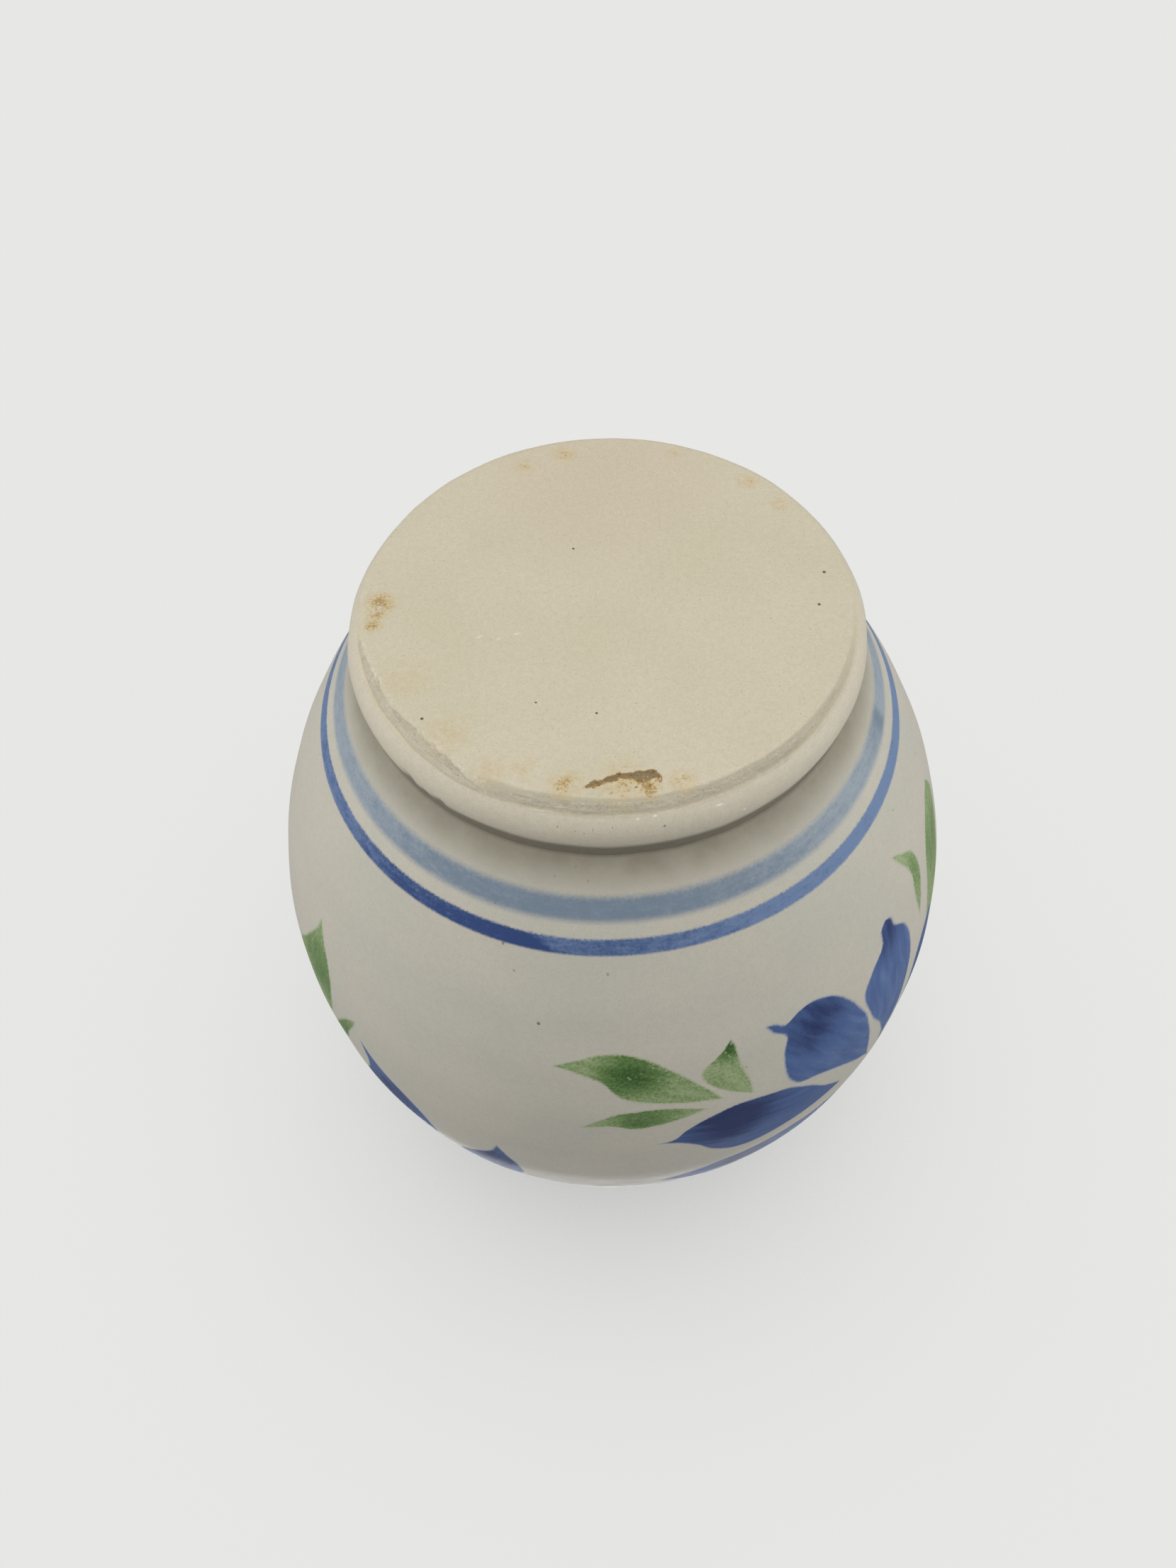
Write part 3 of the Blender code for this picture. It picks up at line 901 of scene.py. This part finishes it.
def makeClay(material):
    face = glazeFace(*clayPot["rows"])[::-1]
    outside = inset(face, [-depth * form["seat"] for depth in feathered(face, True, True)])
    liner = linerFace(clayPot["insideRows"])
    inside = inset(liner, [-depth * form["seat"] for depth in feathered(liner, True, False)])
    middle, start = Vector((0, 0)), Vector((clayPot["edgeStart"], 0))
    edge = straight(start, Vector((outside[0].x, 0)), clayPot["edgeRows"])
    line = joined(straight(middle, start, clayPot["flatRows"]), edge, outside[1:], inside[1:])
    shape = turned(line, clayPot["turns"], False)
    first, last = clayPot["wornTurn"]
    onEdge = [v for v in shape.verts if v.co.z < tiny and v.co.xy.length > clayPot["wornStart"]]
    worn = {v for v in onEdge if first < turnOf(v.co) < last}
    wornEdges = [e for e in shape.edges if worn.issuperset(e.verts)]
    bmesh.ops.subdivide_edges(shape, edges=wornEdges, cuts=clayPot["wornCuts"], use_grid_fill=True)
    layers = [shape.verts.layers.float.new(name) for name in ("chip", "step", "chalk")]
    for vert in shape.verts:
        if vert.co.z < tiny:
            rise, *wear = underside(vert.co)
            vert.co.z = max(rise, 0) * mm
            for layer, value in zip(layers, wear):
                vert[layer] = value
        weight = smoothstep(vert.co.xy.length, *clayPot["roundFrom"])
        vert.co += outward(vert.co) * (offRound(vert.co) * weight)
    finished("clayPot", shape, material, ["clay_body"])


def bareBreak(point, chip, fine, cloud):  # the fresh clay in the chip
    tint = tints(clayPot)
    broken = (chip + (cloud - 0.5)).rise(0.35, 0.95).mix(tint["chip"], tint["chipDeep"])
    broken = fine.rise(0.56, 0.66).mix(broken, tint["chipGrain"])
    return dotted(point, broken, clayPot["chipDots"])


def wornClay(clay, point, flat, step, cloud):  # the bare bevel, dragged outwards and gritty
    tint = tints(clayPot)
    right, up = flat.part(0), flat.part(1)
    worn = right.rise(-6, -22).mix(tint["wornFront"], tint["wornSide"])
    clay = (step * (0.6 + 0.5 * cloud)).least(1).mix(clay, worn)
    away = right.maths("SQRT", right * right + up * up) * 2.4
    turn = right.maths("ARCTAN2", right, 0 - up) * 7
    drag = flat.node("CombineXYZ", {}, {0: away, 1: turn}).grain(1.0, 4.0, 0.65)
    clay = (step * drag.rise(0.52, 0.68) * 0.6).mix(clay, tint["dragDark"])
    clay = (step * drag.rise(0.44, 0.3) * 0.6).mix(clay, tint["dragPale"])
    # painted shadow: a dark line along the edges of the torn step
    clay = ((step * (1 - step)).rise(0.1, 0.25) * 0.25).mix(clay, tint["wornEdge"])
    clay = (step * point.dots(2.2, 0.3, 0.5) * 0.6).mix(clay, tint["grit"])
    return (step * point.dots(1.6, 0.25, 0.35) * 0.7).mix(clay, tint["gritPale"])


def stainedClay(clay, flat, chip, fine, cloud):
    tint = tints(clayPot)
    stained = chip * 0.9
    for right, up, reach, strength in clayPot["ochreStains"]:
        stained = stained.most(flat.near((right, up, 0), reach) * strength)
    clay = (stained * cloud.rise(0.28, 0.58)).mix(clay, tint["ochre"])
    grains = (fine + stained * 0.36 + (cloud - 0.5) * 0.5).rise(0.73, 0.87) * stained.rise(0.05, 0.3)
    return (grains * 0.8).mix(clay, tint["ochreGrain"])


def makeClayMaterial():
    material, shader, point = newMaterial("bareClay", clayPot["roughness"], clayPot["gloss"])
    wear = [point.node("Attribute", {"attribute_name": name}, {}, 2) for name in ("chip", "step", "chalk")]
    chip, step, chalk = wear
    flat = point.vector("MULTIPLY", (-1, 1, 0))  # mm right and up, with the underside in view
    fine = point.grain(2.4, 3.0, 0.65)
    cloud = point.grain(0.5, 3.0, 0.65)
    tint = tints(clayPot)

    clay = point.grain(0.06, 2.0).rise(0.3, 0.7).mix(tint["warm"], tint["cool"])
    place, reach, strength = clayPot["rosyPatch"]
    clay = (flat.near(place, reach) * strength).mix(clay, tint["rosy"])
    clay = wornClay(clay, point, flat, step, cloud)
    clay = stainedClay(clay, flat, chip, fine, cloud)
    clay = dotted(point, mottled(point, clay, clayPot["mottling"]), clayPot["dots"])
    for right, up, size in clayPot["darkSpecks"]:
        clay = (flat.near((right, up, 0), size).rise(0.1, 0.5) * 0.9).mix(clay, tint["speck"])
    for right, up, slope, length in clayPot["paleScratches"]:
        mark = flat.laidOut((right, up), math.radians(slope), (length, clayPot["scratchWidth"]))
        clay = (mark.near((0, 0, 0), 1) * 0.7).mix(clay, tint["chalk"])
    # pale crumbs, brightened as painted highlight where the torn edge catches the light
    clay = (chalk * 0.55).mix(clay, tint["chalk"])
    bare = (chip + (fine - 0.5) * 3).rise(0.36, 0.5) * chip.rise(0.02, 0.25)
    clay = bare.mix(clay, bareBreak(point, chip, fine, cloud))
    connect(shader, "Base Color", clay)

    coarse = point.grain(1.2, 3.0) * 3 + point.grain(4.0, 2.0) * 1.5
    relief = fine + step * coarse + chip * point.grain(1.0, 3.0) * 3
    connect(shader, "Normal", bumpOf(relief, clayPot["relief"]))
    return material


# Liner: the coat poured inside

linerGlaze = {
    "turns": 192,
    "rows": 40,
    "ringDepth": 0.00012,
    "ringPitch": 0.0065,
    "ringFade": (0.004, 0.1),  # under the lip where the rings start, height where they are full
    "roughness": 0.4,
    "gloss": 0.4,
    "colours": {
        "cream": (196, 190, 175),
        "coolCream": (188, 184, 171),
    },
    "dots": [
        (0.3, 0.07, 0.12, 1, (128, 112, 92)),
    ],
}


def makeLiner(material):
    face = linerFace(linerGlaze["rows"])
    back = inset(face, [-depth for depth in feathered(face, True, False)])
    shape = turned(face + back[::-1][:-1], linerGlaze["turns"], False)
    for vert in shape.verts:
        spiral = 2 * math.pi * vert.co.z / linerGlaze["ringPitch"] + math.radians(turnOf(vert.co))
        under, full = linerGlaze["ringFade"]
        fade = smoothstep(vert.co.z, form["height"] - under, full)
        vert.co += outward(vert.co) * (linerGlaze["ringDepth"] * math.sin(spiral) * fade)
    finished("linerGlaze", shape, material, ["liner_glaze"])


def makeLinerMaterial():
    material, shader, point = newMaterial("linerGlaze", linerGlaze["roughness"], linerGlaze["gloss"])
    tint = tints(linerGlaze)
    cream = point.grain(0.05, 2.0).rise(0.35, 0.65).mix(tint["cream"], tint["coolCream"])
    connect(shader, "Base Color", dotted(point, cream, linerGlaze["dots"]))
    connect(shader, "Normal", ripple(point))
    return material


makeGlaze(makeGlazeMaterial())
makeClay(makeClayMaterial())
makeLiner(makeLinerMaterial())


# Stage, light and camera

stage = {
    "backdrop": (0.80, 0.80, 0.79, 1.0),
    "shade": (0.30, 0.30, 0.30, 1.0),
    "shadeReach": 0.17,
    "clearance": 0.0004,
    "halfSize": 3.0,
    "lightBelow": (0.47, 0.47, 0.465, 1.0),  # the pale floor throws more light up than comes down
    "lightAbove": (0.37, 0.37, 0.375, 1.0),
    "lightTurn": 0.6,  # how far up and down the light changes from one to the other
    "openEnough": 0.95,
    "lowFade": (0.62, 0.53),
}


def stageMaterial(name, fadesLow):
    material = bpy.data.materials.new(name)
    material.use_nodes = True
    tree = material.node_tree
    tree.nodes.remove(tree.nodes["Principled BSDF"])
    paper = Brush(tree)
    seen = paper.node("LightPath", {}, {}, 0) * (1 - paper.node("NewGeometry", {}, {}, 6))
    if fadesLow:  # the upper plane is only for views from well below it
        seen = seen * paper.node("LayerWeight", {}, {"Blend": 0.5}, 1).rise(*stage["lowFade"])
    openness = paper.node("AmbientOcclusion", {"samples": 12}, {"Distance": stage["shadeReach"]}, 1)
    colour = openness.rise(0.0, stage["openEnough"]).mix(stage["shade"], stage["backdrop"])
    lit = paper.node("Emission", {}, {"Color": colour})
    clear = paper.node("BsdfTransparent", {}, {})
    shown = paper.node("MixShader", {}, {0: seen, 1: clear, 2: lit})
    tree.links.new(shown.socket, tree.nodes["Material Output"].inputs["Surface"])
    return material


def makeStage(name, height, facesUp):
    shape = bmesh.new()
    bmesh.ops.create_grid(shape, x_segments=1, y_segments=1, size=stage["halfSize"])
    if not facesUp:
        bmesh.ops.reverse_faces(shape, faces=shape.faces)
    bmesh.ops.translate(shape, verts=shape.verts, vec=(0, 0, height))
    mesh = bpy.data.meshes.new(name)
    shape.to_mesh(mesh)
    shape.free()
    mesh.materials.append(stageMaterial(name, not facesUp))
    plane = bpy.data.objects.new(name, mesh)
    bpy.context.scene.collection.objects.link(plane)
    plane.visible_shadow = False
    plane.visible_diffuse = False
    plane.visible_glossy = False


makeStage("floor", -stage["clearance"], True)
makeStage("table", form["height"] + stage["clearance"], False)

world = bpy.data.worlds.new("studio")
bpy.context.scene.world = world
world.use_nodes = True
sky = Brush(world.node_tree)
heading = sky.node("TexCoord", {}, {}, 0).part(2)
light = heading.rise(-stage["lightTurn"], stage["lightTurn"]).mix(stage["lightBelow"], stage["lightAbove"])
skyColour = sky.node("LightPath", {}, {}, 0).mix(light, stage["backdrop"])
world.node_tree.links.new(skyColour.socket, world.node_tree.nodes["Background"].inputs["Color"])

lamps = [  # name, place, width across, power in watts
    ("underLeft", (0.68, -0.1, -0.26), 0.7, 2.6),
    ("underRight", (-0.68, -0.1, -0.26), 0.7, 2.6),
    ("under", (0, -0.05, -0.8), 0.5, 1.5),
    ("over", (0, 0.15, 0.95), 0.5, 3.1),
]
middle = Vector((0, 0, form["height"] / 2))
for name, place, width, power in lamps:
    lamp = bpy.data.lights.new(name, "AREA")
    lamp.shape = "DISK"
    lamp.size = width
    lamp.energy = power
    holder = bpy.data.objects.new(name, lamp)
    bpy.context.scene.collection.objects.link(holder)
    holder.location = place
    holder.rotation_euler = (middle - Vector(place)).to_track_quat("-Z", "Y").to_euler()

view = {
    "place": (0, -0.1240, -0.1308),
    "tilt": 0.964,
    "yaw": -0.0315,
    "roll": 0.0468,
    "focalPixels": 1700,
    "framePixels": 2212,
    "sensor": 36,
    "nearest": 0.01,
}
tilt, yaw, roll = view["tilt"], view["yaw"], view["roll"]
forward = Vector((-math.sin(yaw) * math.cos(tilt), math.cos(yaw) * math.cos(tilt), math.sin(tilt)))
right = Vector((-math.cos(yaw), -math.sin(yaw), 0))
below = forward.cross(right)
across = right * math.cos(roll) + below * math.sin(roll)
upward = right * math.sin(roll) - below * math.cos(roll)
camera = bpy.data.cameras.new("camera")
camera.sensor_width = view["sensor"]
camera.lens = view["sensor"] * view["focalPixels"] / view["framePixels"]
camera.clip_start = view["nearest"]
cameraHolder = bpy.data.objects.new("camera", camera)
bpy.context.scene.collection.objects.link(cameraHolder)
axes = Matrix((across, upward, -forward)).transposed().to_4x4()
cameraHolder.matrix_world = Matrix.Translation(view["place"]) @ axes
bpy.context.scene.camera = cameraHolder
bpy.context.scene.view_settings.view_transform = "Standard"
print("camera, lamps and stage are set")
